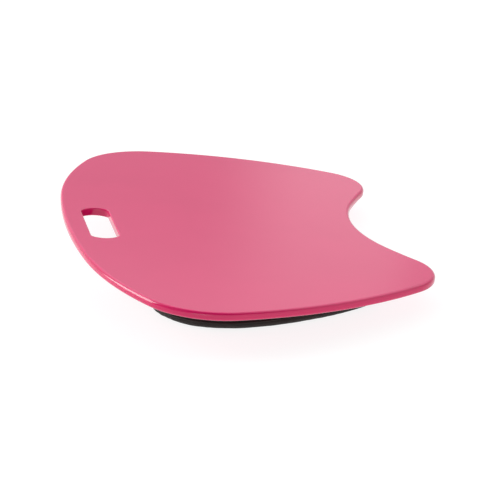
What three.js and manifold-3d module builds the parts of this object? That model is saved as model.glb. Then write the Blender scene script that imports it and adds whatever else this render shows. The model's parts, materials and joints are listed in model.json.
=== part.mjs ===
// A lap desk: a lacquered board with a carry slot and a hollow for the user's waist, held by
// hook-and-loop strips on a wedge-shaped bead cushion whose cover opens with a zip at the rear.
// Millimetres, +Z up. X runs along the user's left and right, +Y points away from the user, and
// the origin is on the surface that the cushion rests on, under the middle of the board.

import * as THREE from 'three';
import { mergeVertices } from 'three/addons/utils/BufferGeometryUtils.js';
import Module from 'manifold-3d';

const wasm = await Module();
wasm.setup();

// ---------------------------------------------------------------- driving dimensions

const GAP = 0.3; // left between neighbouring pieces
const OVERLAP = 0.5; // shared by two solids that are joined
const BEYOND = 10; // how far a cutter reaches past what it cuts

const BOARD_WIDTH = 580;
const BOARD_THICKNESS = 9;
const BOARD_EDGE_RADIUS = 3.5;
const BOARD_TILT = THREE.MathUtils.degToRad(4.1); // slopes down towards the user
const BOARD_HEIGHT = 33; // underside above the floor, at the middle of the depth
// [radius, sweep in degrees] from the rear centre: rear edge, rear corner, side, horn, hollow
const BOARD_ARCS = [[900, 6.85], [374, 22.6], [86, 67.6], [457, 29], [62.5, 84.4], [500, -5.5]];

const SLOT_LENGTH = 107;
const SLOT_WIDTH = 30.8;
const SLOT_REAR_MARGIN = 21.9; // from the board's rear edge
const SLOT_END_BOW = 11; // how far the slot's ends bow out of its corners
const SLOT_CORNER_RADIUS = 6;
const SLOT_EASED_EDGE = 1.2;

const CUSHION_REAR_Y = 117;
const CUSHION_REAR_STRAIGHT = 137; // half length of the straight rear edge
const CUSHION_ARCS = [[90, 91], [262, 31], [45, 89]];
const CUSHION_RIM_RADIUS = 12; // rounding of the lower rim
const COVER_THICKNESS = 1.2;
const LINER_THICKNESS = 0.6;

const STRIP_THICKNESS = 1;
const STRIP_LENGTH = 90;
const STRIP_WIDTH = 25;
const STRIP_CORNER_RADIUS = 3;
// Middle of each hook-and-loop pair, on the board
const STRIP_PLACES = {
  rear_left: [-140, 84],
  rear_middle: [0, 84],
  rear_right: [140, 84],
  front_left: [-140, -70],
  front_middle: [0, -60],
  front_right: [140, -70],
};

const ZIP_HALF_LENGTH = 120;
const ZIP_CENTRE_Z = 25;
const ZIP_WINDOW = 7.6; // between the two zip panels
const TAPE_WIDTH = 10;
const TAPE_THICKNESS = 0.5;
const COIL_WIDTH = 2.2;
const COIL_DEPTH = 1.4;
const STOP_LENGTH = 2;
const SLIDER_LENGTH = 9;
const SLIDER_WALL = 0.6;
const POST_LENGTH = 1.8; // of the two posts that hold the pull's bridge
const POST_WIDTH = 1;
const POST_INNER_HALF = 1.8; // from the slider's middle to each post
const BRIDGE_RISE = 2.1; // from the slider's face to the middle of the bridge
const PULL_LENGTH = 24;
const PULL_WIDTH = 6;
const PULL_THICKNESS = 1.2;
const PULL_CORNER_RADIUS = 2;
const PULL_NECK_LENGTH = 4;
const PULL_EYE_RADIUS = 1.7;
const PIVOT_RADIUS = 0.6;

const LABEL_WIDTH = 28;
const LABEL_HEIGHT = 14;
const LABEL_THICKNESS = 0.5;
const LABEL_CORNER_RADIUS = 0.5;
const LABEL_Y = 55; // where the label hangs, on the right-hand side of the cushion

const COLOURS = {
  lacquer: 0xc8325f,
  cover: 0x2f2b2a,
  trim: 0x1b1a1a,
  liner: 0xe4e1db,
  beads: 0xf4f3f0,
  metal: 0x8d8f92,
  label: 0xeceae5,
};

// ---------------------------------------------------------------- outlines

// Half of an outline that is the same on both sides of the Y axis, as points with their outward
// normals. It starts at the rear centre heading +X, runs along a straight, then through arcs; a
// positive sweep turns clockwise. One more arc brings the half square to the Y axis at the front.
function halfOutline(rearY, straight, arcs, degreesPerStep) {
  const points = [{ x: 0, y: rearY, nx: 0, ny: 1 }];
  let x = straight;
  let y = rearY;
  let heading = 0;
  if (straight > 0) points.push({ x, y, nx: 0, ny: 1 });

  function addArc(radius, sweep) {
    const side = Math.sign(sweep);
    const centreX = x + side * radius * Math.sin(heading);
    const centreY = y - side * radius * Math.cos(heading);
    const steps = Math.max(2, Math.ceil(THREE.MathUtils.radToDeg(Math.abs(sweep)) / degreesPerStep));
    for (let step = 1; step <= steps; step += 1) {
      const angle = heading - (sweep * step) / steps;
      x = centreX - side * radius * Math.sin(angle);
      y = centreY + side * radius * Math.cos(angle);
      points.push({ x, y, nx: -Math.sin(angle), ny: Math.cos(angle) });
    }
    heading -= sweep;
  }

  for (const [radius, degrees] of arcs) addArc(radius, THREE.MathUtils.degToRad(degrees));
  const lastSweep = heading + Math.PI;
  addArc(x / Math.sin(-lastSweep), lastSweep);
  return points;
}

function mirrored(half) {
  const left = half.slice(1, -1).reverse().map(({ x, y, nx, ny }) => ({ x: -x, y, nx: -nx, ny }));
  return [...half, ...left];
}

function boardOutline() {
  const half = halfOutline(0, 0, BOARD_ARCS, 5);
  const scale = BOARD_WIDTH / 2 / Math.max(...half.map((point) => point.x));
  const middleY = Math.min(...half.map((point) => point.y)) / 2;
  return mirrored(half).map(({ x, y }) => new THREE.Vector2(x * scale, (y - middleY) * scale));
}

// A long rectangle whose short ends bow outwards, with rounded corners
function slotOutline(centreY) {
  const halfLength = SLOT_LENGTH / 2;
  const halfWidth = SLOT_WIDTH / 2;
  const cornerX = halfLength - SLOT_END_BOW;
  const path = new THREE.Path();
  path.moveTo(-cornerX, centreY - halfWidth);
  path.lineTo(cornerX, centreY - halfWidth);
  path.bezierCurveTo(
    cornerX + SLOT_CORNER_RADIUS, centreY - halfWidth,
    halfLength, centreY - SLOT_CORNER_RADIUS,
    halfLength, centreY,
  );
  path.bezierCurveTo(
    halfLength, centreY + SLOT_CORNER_RADIUS,
    cornerX + SLOT_CORNER_RADIUS, centreY + halfWidth,
    cornerX, centreY + halfWidth,
  );
  path.lineTo(-cornerX, centreY + halfWidth);
  path.bezierCurveTo(
    -cornerX - SLOT_CORNER_RADIUS, centreY + halfWidth,
    -halfLength, centreY + SLOT_CORNER_RADIUS,
    -halfLength, centreY,
  );
  path.bezierCurveTo(
    -halfLength, centreY - SLOT_CORNER_RADIUS,
    -cornerX - SLOT_CORNER_RADIUS, centreY - halfWidth,
    -cornerX, centreY - halfWidth,
  );
  return path;
}

const cushionOutline = mirrored(
  halfOutline(CUSHION_REAR_Y, CUSHION_REAR_STRAIGHT, CUSHION_ARCS, 7.5),
);

// ---------------------------------------------------------------- solids

function signedVolume(positions, faces) {
  const corner = (index) => new THREE.Vector3().fromArray(positions, index * 3);
  return faces.reduce((sum, [a, b, c]) => sum + corner(a).dot(corner(b).cross(corner(c))) / 6, 0);
}

// A solid through a list of rings. Each ring is the cushion's outline moved in by `inset`, at the
// height `z(y)`. The first and last rings are capped, or joined to each other where `loop` is set.
function loft(rings, loop = false) {
  const count = cushionOutline.length;
  const positions = [];
  const faces = [];
  for (const { inset, z } of rings) {
    for (const { x, y, nx, ny } of cushionOutline) {
      const ringY = y - ny * inset;
      positions.push(x - nx * inset, ringY, z(ringY));
    }
  }
  const joins = loop ? rings.length : rings.length - 1;
  for (let ring = 0; ring < joins; ring += 1) {
    const next = (ring + 1) % rings.length;
    for (let i = 0; i < count; i += 1) {
      const j = (i + 1) % count;
      faces.push([ring * count + i, ring * count + j, next * count + j]);
      faces.push([ring * count + i, next * count + j, next * count + i]);
    }
  }
  if (!loop) {
    const contour = cushionOutline.map(({ x, y }) => new THREE.Vector2(x, y));
    const caps = THREE.ShapeUtils.triangulateShape(contour, []);
    const last = (rings.length - 1) * count;
    for (const [a, b, c] of caps) {
      // The outline runs clockwise, and its caps are listed counter-clockwise
      faces.push([a, b, c]);
      faces.push([last + a, last + c, last + b]);
    }
  }
  const outward = signedVolume(positions, faces) > 0;
  const index = faces.flatMap(([a, b, c]) => (outward ? [a, b, c] : [a, c, b]));
  const geometry = new THREE.BufferGeometry();
  geometry.setAttribute('position', new THREE.Float32BufferAttribute(positions, 3));
  geometry.setIndex(index);
  geometry.computeVertexNormals();
  return geometry;
}

function toManifold(geometry) {
  const bare = geometry.clone();
  for (const name of Object.keys(bare.attributes)) {
    if (name !== 'position') bare.deleteAttribute(name);
  }
  const merged = mergeVertices(bare, 1e-4);
  return new wasm.Manifold(new wasm.Mesh({
    numProp: 3,
    vertProperties: new Float32Array(merged.attributes.position.array),
    triVerts: new Uint32Array(merged.index.array),
  }));
}

function fromManifold(solid) {
  const mesh = solid.getMesh();
  const geometry = new THREE.BufferGeometry();
  geometry.setAttribute('position', new THREE.BufferAttribute(mesh.vertProperties, 3));
  geometry.setIndex(new THREE.BufferAttribute(mesh.triVerts, 1));
  geometry.computeVertexNormals();
  return geometry;
}

function joined(...geometries) {
  return fromManifold(geometries.map(toManifold).reduce((sum, solid) => sum.add(solid)));
}

function cut(geometry, tool) {
  return fromManifold(toManifold(geometry).subtract(toManifold(tool)));
}

// A box between two corners
function block([x0, y0, z0], [x1, y1, z1]) {
  const geometry = new THREE.BoxGeometry(x1 - x0, y1 - y0, z1 - z0);
  geometry.translate((x0 + x1) / 2, (y0 + y1) / 2, (z0 + z1) / 2);
  return geometry;
}

function roundedPlate(length, width, thickness, radius) {
  const x = length / 2 - radius;
  const y = width / 2 - radius;
  const shape = new THREE.Shape();
  shape.absarc(x, y, radius, 0, Math.PI / 2);
  shape.absarc(-x, y, radius, Math.PI / 2, Math.PI);
  shape.absarc(-x, -y, radius, Math.PI, Math.PI * 1.5);
  shape.absarc(x, -y, radius, Math.PI * 1.5, Math.PI * 2);
  return new THREE.ExtrudeGeometry(shape, {
    depth: thickness, bevelEnabled: false, curveSegments: 4,
  });
}

const lapDesk = new THREE.Group();

const tilted = new THREE.Group(); // the board's own frame: its underside is at z = 0
tilted.rotation.x = BOARD_TILT;
tilted.position.set(0, (BOARD_THICKNESS / 2) * Math.sin(BOARD_TILT), BOARD_HEIGHT);
lapDesk.add(tilted);

function addPart(parent, name, geometry, colour, roughness, metalness = 0) {
  const material = new THREE.MeshStandardMaterial({ color: colour, roughness, metalness });
  const mesh = new THREE.Mesh(geometry, material);
  mesh.name = name;
  parent.add(mesh);
  return mesh;
}

// ---------------------------------------------------------------- board

// The slot's cutter, which widens towards the board's two faces so that the edges are eased
function slotTool(path) {
  const shape = new THREE.Shape(path.getPoints(6));
  const through = new THREE.ExtrudeGeometry(shape, {
    depth: BOARD_THICKNESS + 2 * BEYOND, bevelEnabled: false,
  });
  through.translate(0, 0, -BEYOND);
  const flares = [BOARD_THICKNESS, -BEYOND].map((z) => {
    const flare = new THREE.ExtrudeGeometry(shape, {
      depth: BEYOND, bevelThickness: SLOT_EASED_EDGE, bevelSize: SLOT_EASED_EDGE, bevelSegments: 1,
    });
    return flare.translate(0, 0, z);
  });
  return joined(through, ...flares);
}

function addBoard() {
  const outline = boardOutline();
  const rearY = Math.max(...outline.map((point) => point.y));
  const plate = new THREE.ExtrudeGeometry(new THREE.Shape(outline), {
    depth: BOARD_THICKNESS - 2 * BOARD_EDGE_RADIUS,
    bevelThickness: BOARD_EDGE_RADIUS,
    bevelSize: BOARD_EDGE_RADIUS,
    bevelOffset: -BOARD_EDGE_RADIUS,
    bevelSegments: 3,
  });
  plate.translate(0, 0, BOARD_EDGE_RADIUS);
  const slot = slotOutline(rearY - SLOT_REAR_MARGIN - SLOT_WIDTH / 2);
  addPart(tilted, 'board', cut(plate, slotTool(slot)), COLOURS.lacquer, 0.25);
}

// ---------------------------------------------------------------- hook-and-loop strips

function addStrips() {
  for (const [place, [x, y]] of Object.entries(STRIP_PLACES)) {
    const plate = () => roundedPlate(STRIP_LENGTH, STRIP_WIDTH, STRIP_THICKNESS, STRIP_CORNER_RADIUS);
    const hook = addPart(tilted, `hook_strip_${place}`, plate(), COLOURS.trim, 0.9);
    hook.position.set(x, y, -GAP - STRIP_THICKNESS);
    const loop = addPart(tilted, `loop_strip_${place}`, plate(), COLOURS.trim, 0.95);
    loop.position.set(x, y, -2 * (GAP + STRIP_THICKNESS));
  }
}

// ---------------------------------------------------------------- cushion

const STRIP_STACK = 2 * STRIP_THICKNESS + 3 * GAP;
const LINER_INSET = COVER_THICKNESS + GAP + TAPE_THICKNESS + GAP;
const FILL_INSET = LINER_INSET + LINER_THICKNESS + GAP;
const SEAM_Z = CUSHION_RIM_RADIUS + GAP; // where the walls start, above the bottom panel's rim

// Height of a surface `drop` below the cushion's sloping top
function below(drop) {
  return (y) => {
    const boardLine = BOARD_HEIGHT + (y - tilted.position.y) * Math.tan(BOARD_TILT);
    return boardLine - (STRIP_STACK + drop) / Math.cos(BOARD_TILT);
  };
}

function level(z) {
  return () => z;
}

// Rings up the rounded lower rim, `inset` inside the cover's outer surface
function rimRings(inset) {
  const radius = CUSHION_RIM_RADIUS - inset;
  return [0, 22.5, 45, 67.5, 90].map((degrees) => {
    const angle = THREE.MathUtils.degToRad(degrees);
    return {
      inset: CUSHION_RIM_RADIUS - radius * Math.sin(angle),
      z: level(CUSHION_RIM_RADIUS - radius * Math.cos(angle)),
    };
  });
}

function tray(inset, thickness) {
  return loft([...rimRings(inset), ...rimRings(inset + thickness).reverse()]);
}

function zipOpening(halfLength) {
  return block(
    [-halfLength, CUSHION_REAR_Y - BEYOND, 0],
    [halfLength, CUSHION_REAR_Y + BEYOND, BOARD_HEIGHT + BEYOND],
  );
}

function addCover() {
  const topPanel = loft([
    { inset: 0, z: below(COVER_THICKNESS) },
    { inset: 0, z: below(0) },
  ]);
  const wallTop = below(COVER_THICKNESS + GAP);
  const wall = loft([
    { inset: 0, z: level(SEAM_Z) },
    { inset: 0, z: wallTop },
    { inset: COVER_THICKNESS, z: wallTop },
    { inset: COVER_THICKNESS, z: level(SEAM_Z) },
  ], true);
  addPart(lapDesk, 'cover_top_panel', topPanel, COLOURS.cover, 0.9);
  addPart(lapDesk, 'cover_side_band', cut(wall, zipOpening(ZIP_HALF_LENGTH + GAP)), COLOURS.cover, 0.9);
  addPart(lapDesk, 'cover_bottom_panel', tray(0, COVER_THICKNESS), COLOURS.cover, 0.9);
}

function addFilling() {
  const lid = loft([
    { inset: LINER_INSET + LINER_THICKNESS, z: below(LINER_INSET + LINER_THICKNESS) },
    { inset: LINER_INSET + LINER_THICKNESS, z: level(SEAM_Z) },
    { inset: LINER_INSET, z: level(SEAM_Z) },
    { inset: LINER_INSET, z: below(LINER_INSET) },
  ]);
  const fill = loft([...rimRings(FILL_INSET), { inset: FILL_INSET, z: below(FILL_INSET) }]);
  addPart(lapDesk, 'liner_upper', lid, COLOURS.liner, 0.8);
  addPart(lapDesk, 'liner_lower', tray(LINER_INSET, LINER_THICKNESS), COLOURS.liner, 0.8);
  addPart(lapDesk, 'bead_fill', fill, COLOURS.beads, 0.7);
}

function addLabel() {
  const anchor = cushionOutline
    .filter(({ x }) => x > 0)
    .reduce((best, point) => (Math.abs(point.y - LABEL_Y) < Math.abs(best.y - LABEL_Y) ? point : best));
  const plate = roundedPlate(LABEL_WIDTH, LABEL_HEIGHT, LABEL_THICKNESS, LABEL_CORNER_RADIUS);
  const label = addPart(lapDesk, 'care_label', plate, COLOURS.label, 0.8);
  const outward = GAP + LABEL_THICKNESS;
  label.rotation.order = 'ZXY';
  label.rotation.z = Math.atan2(anchor.ny, anchor.nx) + Math.PI / 2;
  label.rotation.x = Math.PI / 2;
  label.position.set(
    anchor.x + anchor.nx * outward,
    anchor.y + anchor.ny * outward,
    SEAM_Z + LABEL_HEIGHT / 2,
  );
}

// ---------------------------------------------------------------- zip

const ZIP_FACE_Y = CUSHION_REAR_Y; // outer face of the zip panels
const COIL_BACK_Y = ZIP_FACE_Y - COVER_THICKNESS;
const SLIDER_ROOF_Y = COIL_BACK_Y + COIL_DEPTH + GAP; // underside of the slider's roof
const SLIDER_FACE_Y = SLIDER_ROOF_Y + 2 * SLIDER_WALL;
const PIVOT_Y = SLIDER_FACE_Y + BRIDGE_RISE;
const SLIDER_HALF_HEIGHT = COIL_WIDTH + GAP + GAP + SLIDER_WALL;
const COIL_HALF_LENGTH = ZIP_HALF_LENGTH - 2 * STOP_LENGTH;
const SLIDER_CLOSED_X = COIL_HALF_LENGTH - SLIDER_LENGTH / 2 - GAP;

function addZipPanels() {
  const panelTop = below(COVER_THICKNESS + GAP)(ZIP_FACE_Y - COVER_THICKNESS);
  const lower = block(
    [-ZIP_HALF_LENGTH, ZIP_FACE_Y - COVER_THICKNESS, SEAM_Z],
    [ZIP_HALF_LENGTH, ZIP_FACE_Y, ZIP_CENTRE_Z - ZIP_WINDOW / 2],
  );
  const upper = block(
    [-ZIP_HALF_LENGTH, ZIP_FACE_Y - COVER_THICKNESS, ZIP_CENTRE_Z + ZIP_WINDOW / 2],
    [ZIP_HALF_LENGTH, ZIP_FACE_Y, panelTop],
  );
  addPart(lapDesk, 'zip_panel_lower', lower, COLOURS.cover, 0.9);
  addPart(lapDesk, 'zip_panel_upper', upper, COLOURS.cover, 0.9);
}

// The tape and the coil on one side of the zip: side is 1 above its centre line, -1 below
function addZipSide(name, side) {
  const along = (from, to) => [ZIP_CENTRE_Z + side * from, ZIP_CENTRE_Z + side * to].sort((a, b) => a - b);
  const [tapeLow, tapeHigh] = along(GAP / 2, TAPE_WIDTH);
  const [coilLow, coilHigh] = along(GAP / 2, GAP / 2 + COIL_WIDTH);
  const tapeFaceY = COIL_BACK_Y - GAP;
  const tape = block(
    [-ZIP_HALF_LENGTH, tapeFaceY - TAPE_THICKNESS, tapeLow],
    [ZIP_HALF_LENGTH, tapeFaceY, tapeHigh],
  );
  const coil = block(
    [-COIL_HALF_LENGTH, COIL_BACK_Y, coilLow],
    [COIL_HALF_LENGTH, COIL_BACK_Y + COIL_DEPTH, coilHigh],
  );
  const stop = block(
    [COIL_HALF_LENGTH + GAP, COIL_BACK_Y, coilLow],
    [COIL_HALF_LENGTH + GAP + STOP_LENGTH, COIL_BACK_Y + COIL_DEPTH, coilHigh],
  );
  addPart(lapDesk, `zip_tape_${name}`, tape, COLOURS.trim, 0.9);
  addPart(lapDesk, `zip_coil_${name}`, coil, COLOURS.trim, 0.5);
  addPart(lapDesk, `zip_top_stop_${name}`, stop, COLOURS.metal, 0.35, 1);
}

function addBottomStop() {
  const halfHeight = GAP / 2 + COIL_WIDTH;
  const stop = block(
    [-COIL_HALF_LENGTH - GAP - STOP_LENGTH, COIL_BACK_Y, ZIP_CENTRE_Z - halfHeight],
    [-COIL_HALF_LENGTH - GAP, COIL_BACK_Y + COIL_DEPTH, ZIP_CENTRE_Z + halfHeight],
  );
  addPart(lapDesk, 'zip_bottom_stop', stop, COLOURS.metal, 0.35, 1);
}

// A channel over both coils, with a bridge that the pull turns on
function addSlider() {
  const halfLength = SLIDER_LENGTH / 2;
  const postHalf = POST_LENGTH / 2;
  const channel = joined(
    block([-halfLength, SLIDER_ROOF_Y, -SLIDER_HALF_HEIGHT], [halfLength, SLIDER_FACE_Y, SLIDER_HALF_HEIGHT]),
    ...[-1, 1].map((side) => {
      const [low, high] = [SLIDER_HALF_HEIGHT - SLIDER_WALL, SLIDER_HALF_HEIGHT]
        .map((z) => side * z).sort((a, b) => a - b);
      return block([-halfLength, COIL_BACK_Y, low], [halfLength, SLIDER_FACE_Y, high]);
    }),
    ...[-1, 1].map((side) => {
      const [low, high] = [POST_INNER_HALF, POST_INNER_HALF + POST_WIDTH]
        .map((z) => side * z).sort((a, b) => a - b);
      return block([-postHalf, SLIDER_FACE_Y - OVERLAP, low], [postHalf, PIVOT_Y + postHalf, high]);
    }),
    new THREE.CylinderGeometry(PIVOT_RADIUS, PIVOT_RADIUS, 2 * POST_INNER_HALF + POST_WIDTH, 12)
      .rotateX(Math.PI / 2).translate(0, PIVOT_Y, 0),
  );
  const slider = addPart(lapDesk, 'zip_slider', channel, COLOURS.metal, 0.35, 1);
  slider.position.set(SLIDER_CLOSED_X, 0, ZIP_CENTRE_Z);
}

// A tab with an eye around the slider's bridge, lying along -X
function addPull() {
  const eyeHeight = PULL_WIDTH / 2;
  const eye = new THREE.CylinderGeometry(PULL_EYE_RADIUS, PULL_EYE_RADIUS, eyeHeight, 16)
    .rotateX(Math.PI / 2);
  const bore = new THREE.CylinderGeometry(PIVOT_RADIUS + GAP, PIVOT_RADIUS + GAP, PULL_WIDTH, 12)
    .rotateX(Math.PI / 2);
  const neck = block(
    [-PULL_NECK_LENGTH - OVERLAP, -PULL_THICKNESS / 2, -eyeHeight / 2],
    [0, PULL_THICKNESS / 2, eyeHeight / 2],
  );
  const tabLength = PULL_LENGTH - PULL_NECK_LENGTH;
  const tab = roundedPlate(tabLength, PULL_WIDTH, PULL_THICKNESS, PULL_CORNER_RADIUS)
    .rotateX(Math.PI / 2).translate(-PULL_NECK_LENGTH - tabLength / 2, PULL_THICKNESS / 2, 0);
  const pull = addPart(lapDesk, 'zip_pull', cut(joined(eye, neck, tab), bore), COLOURS.metal, 0.35, 1);
  pull.position.set(SLIDER_CLOSED_X, PIVOT_Y, ZIP_CENTRE_Z);
}

addBoard();
addStrips();
addCover();
addFilling();
addLabel();
addZipPanels();
addZipSide('lower', -1);
addZipSide('upper', 1);
addBottomStop();
addSlider();
addPull();

export default lapDesk;
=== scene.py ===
"""A lap desk: a glossy pink board with a carry slot and a waist hollow, on a black bead cushion.

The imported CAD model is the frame. This script makes the visible pieces around it: the lacquered
board, the sewn and filled cushion, the hook-and-loop tabs, the zip and the care label.
"""
import json
import math
import random

import bmesh
import bpy
import numpy as np
from mathutils import Matrix, Vector, noise
from mathutils.bvhtree import BVHTree
from mathutils.geometry import tessellate_polygon


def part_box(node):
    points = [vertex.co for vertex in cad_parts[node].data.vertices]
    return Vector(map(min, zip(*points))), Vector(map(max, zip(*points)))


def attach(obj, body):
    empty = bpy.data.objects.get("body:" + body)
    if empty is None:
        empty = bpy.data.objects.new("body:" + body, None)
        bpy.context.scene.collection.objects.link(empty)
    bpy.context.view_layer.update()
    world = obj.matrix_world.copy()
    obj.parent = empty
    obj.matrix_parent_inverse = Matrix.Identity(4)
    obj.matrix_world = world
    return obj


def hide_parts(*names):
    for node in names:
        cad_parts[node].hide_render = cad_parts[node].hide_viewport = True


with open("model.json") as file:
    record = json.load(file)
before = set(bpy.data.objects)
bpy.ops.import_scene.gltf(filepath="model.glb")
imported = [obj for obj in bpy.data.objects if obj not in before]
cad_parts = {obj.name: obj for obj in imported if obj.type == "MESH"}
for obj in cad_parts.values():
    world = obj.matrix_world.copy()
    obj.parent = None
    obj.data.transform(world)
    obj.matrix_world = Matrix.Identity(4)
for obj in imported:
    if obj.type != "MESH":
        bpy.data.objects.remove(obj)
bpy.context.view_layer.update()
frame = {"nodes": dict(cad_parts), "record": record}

MM = 0.001

# ---------------- places taken from the frame

BOARD_THICKNESS = 9 * MM
STRIP_THICKNESS = 1 * MM
PIECE_GAP = 0.3 * MM
STRIP_STACK = 2 * STRIP_THICKNESS + 3 * PIECE_GAP

TOP_MOUNT = next(m for m in frame["record"]["mounts"] if m["name"] == "board_top")
BOARD_NORMAL = Vector(TOP_MOUNT["axis"])
BOARD_TILT = math.atan2(-BOARD_NORMAL.y, BOARD_NORMAL.z)
BOARD_ORIGIN = Vector(TOP_MOUNT["pos_m"]) - BOARD_NORMAL * BOARD_THICKNESS
BOARD_PLACE = Matrix.Translation(BOARD_ORIGIN) @ Matrix.Rotation(BOARD_TILT, 4, "X")
TO_BOARD = BOARD_PLACE.inverted()


def node_box(name):
    """The two corners of a CAD node's box, as arrays."""
    low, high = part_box(name)
    return np.array(low), np.array(high)


# ---------------- camera

CAMERA_AZIMUTH = -101.42
CAMERA_ELEVATION = 19.04
CAMERA_DISTANCE = 2.3855
CAMERA_AIM = Vector((-0.0799, -0.0028, 0.0373))
CAMERA_LENS = 158.4


def add_camera():
    azimuth, elevation = math.radians(CAMERA_AZIMUTH), math.radians(CAMERA_ELEVATION)
    back = Vector((
        math.sin(azimuth) * math.cos(elevation),
        -math.cos(azimuth) * math.cos(elevation),
        math.sin(elevation),
    ))
    data = bpy.data.cameras.new("camera")
    data.lens = CAMERA_LENS
    data.clip_end = 200
    camera = new_object("camera", data)
    camera.location = CAMERA_AIM + back * CAMERA_DISTANCE
    camera.rotation_mode = "QUATERNION"
    camera.rotation_quaternion = (-back).to_track_quat("-Z", "Y")
    bpy.context.scene.camera = camera


# ---------------- outlines in the plane


def half_outline(rear_y, straight, arcs, step):
    """Half of an outline that is the same on both sides of the Y axis, from the rear centre.

    It runs along a straight, then through arcs of (radius, sweep in degrees); a positive sweep
    turns clockwise. One more arc brings the half square to the Y axis at the front.
    """
    points = [(0.0, rear_y)]
    x, y, heading = straight, rear_y, 0.0
    for k in range(1, math.ceil(straight / step) + 1 if straight else 1):
        points.append((straight * k / math.ceil(straight / step), rear_y))

    def add_arc(x, y, heading, radius, sweep):
        side = math.copysign(1, sweep)
        centre_x = x + side * radius * math.sin(heading)
        centre_y = y - side * radius * math.cos(heading)
        steps = max(3, math.ceil(abs(sweep) * radius / step))
        for k in range(1, steps + 1):
            angle = heading - sweep * k / steps
            x = centre_x - side * radius * math.sin(angle)
            y = centre_y + side * radius * math.cos(angle)
            points.append((x, y))
        return x, y, heading - sweep

    for radius, degrees in arcs:
        x, y, heading = add_arc(x, y, heading, radius, math.radians(degrees))
    last = heading + math.pi
    add_arc(x, y, heading, x / math.sin(-last), last)
    return np.array(points)


def mirrored(half):
    left = half[1:-1][::-1] * [-1, 1]
    return np.concatenate([half, left])


def outward_normals(points):
    tangent = np.roll(points, -1, 0) - np.roll(points, 1, 0)
    tangent /= np.linalg.norm(tangent, axis=1)[:, None]
    x, y = points[:, 0], points[:, 1]
    area = 0.5 * np.sum(x * np.roll(y, -1) - np.roll(x, -1) * y)
    side = math.copysign(1, area)
    return np.stack([tangent[:, 1], -tangent[:, 0]], 1) * side


def rounded_rectangle(length, width, radius, steps=6):
    points = []
    for centre_x, centre_y, start in (
        (length / 2 - radius, width / 2 - radius, 0),
        (-length / 2 + radius, width / 2 - radius, 90),
        (-length / 2 + radius, -width / 2 + radius, 180),
        (length / 2 - radius, -width / 2 + radius, 270),
    ):
        for k in range(steps + 1):
            angle = math.radians(start + 90 * k / steps)
            x = centre_x + radius * math.cos(angle)
            points.append((x, centre_y + radius * math.sin(angle)))
    return np.array(points)


def bezier(a, b, c, d, steps):
    t = np.linspace(0, 1, steps + 1)[:-1, None]
    a, b, c, d = (np.array(p, float) for p in (a, b, c, d))
    return a * (1 - t) ** 3 + 3 * b * t * (1 - t) ** 2 + 3 * c * t * t * (1 - t) + d * t ** 3


def line(a, b, steps):
    t = np.linspace(0, 1, steps + 1)[:-1, None]
    return np.array(a, float) * (1 - t) + np.array(b, float) * t


# ---------------- mesh helpers


class Builder:
    """Collects vertices and faces of one piece."""

    def __init__(self):
        self.vertices = []
        self.faces = []

    def add(self, vertices, faces):
        start = len(self.vertices)
        self.vertices.extend(tuple(float(c) for c in v) for v in vertices)
        self.faces.extend(tuple(start + i for i in face) for face in faces)

    def mesh(self, name):
        """The collected faces as a mesh, all turned outwards."""
        mesh = bpy.data.meshes.new(name)
        mesh.from_pydata(self.vertices, [], self.faces)
        shell = bmesh.new()
        shell.from_mesh(mesh)
        bmesh.ops.recalc_face_normals(shell, faces=shell.faces)
        shell.to_mesh(mesh)
        shell.free()
        return mesh

    def piece(self, name, material, body, slot, place=Matrix.Identity(4)):
        mesh = self.mesh(name)
        mesh.transform(place)
        return finished_piece(name, mesh, material, body)


def new_object(name, data):
    made = bpy.data.objects.new(name, data)
    bpy.context.scene.collection.objects.link(made)
    return made


def assign(target, **values):
    for name, value in values.items():
        setattr(target, name, value)


def add_modifier(piece, name, kind, **settings):
    made = piece.modifiers.new(name, kind)
    assign(made, **settings)
    return made


def finished_piece(name, mesh, material, body):
    mesh.shade_smooth()
    mesh.materials.clear()
    mesh.materials.append(material)
    piece = new_object(name, mesh)
    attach(piece, body)
    return piece


def ring_faces(rings, count, closed=False):
    faces = []
    for ring in range(rings if closed else rings - 1):
        a, b = ring * count, ((ring + 1) % rings) * count
        for i in range(count):
            j = (i + 1) % count
            faces.append((a + i, a + j, b + j, b + i))
    return faces


def edge_profile(thickness, radius, steps):
    """(inset, height) up the rounded edge of a plate, with a flat band at each end."""
    flat = radius + 0.15 * radius
    profile = [(flat, 0.0)]
    for k in range(steps + 1):
        angle = math.pi / 2 * k / steps
        profile.append((radius * (1 - math.sin(angle)), radius * (1 - math.cos(angle))))
    mirrored_up = [(inset, thickness - z) for inset, z in reversed(profile)]
    if thickness - 2 * radius < 1e-6:
        mirrored_up = mirrored_up[1:]
    return profile + mirrored_up


def slab(builder, outer, thickness, radius, steps=4, place=Matrix.Identity(4), hole=None,
         hole_radius=0.0):
    """A plate with rounded edges, and a hole with its own edge rounding, from z = 0 up."""
    caps = ([], [])
    offset, base = 0, len(builder.vertices)
    loops = [(outer, -1, radius)] + ([(hole, 1, hole_radius)] if hole is not None else [])
    for loop, into, rounding in loops:
        profile = edge_profile(thickness, rounding, steps)
        normals = outward_normals(loop)
        vertices = []
        for inset, z in profile:
            flat = loop + normals * (into * inset)
            vertices.extend(place @ Vector((x, y, z)) for x, y in flat)
        builder.add(vertices, ring_faces(len(profile), len(loop)))
        for cap, ring, inset in ((0, 0, profile[0][0]), (1, len(profile) - 1, profile[-1][0])):
            first = base + offset + ring * len(loop)
            flat = loop + normals * (into * inset)
            caps[cap].append([(first + i, x, y) for i, (x, y) in enumerate(flat)])
        offset += len(profile) * len(loop)
    for cap in caps:
        loops = [[Vector((x, y, 0)) for _, x, y in loop] for loop in cap]
        indices = [i for loop in cap for i, _, _ in loop]
        for triangle in tessellate_polygon(loops):
            builder.faces.append(tuple(indices[i] for i in triangle))


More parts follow.
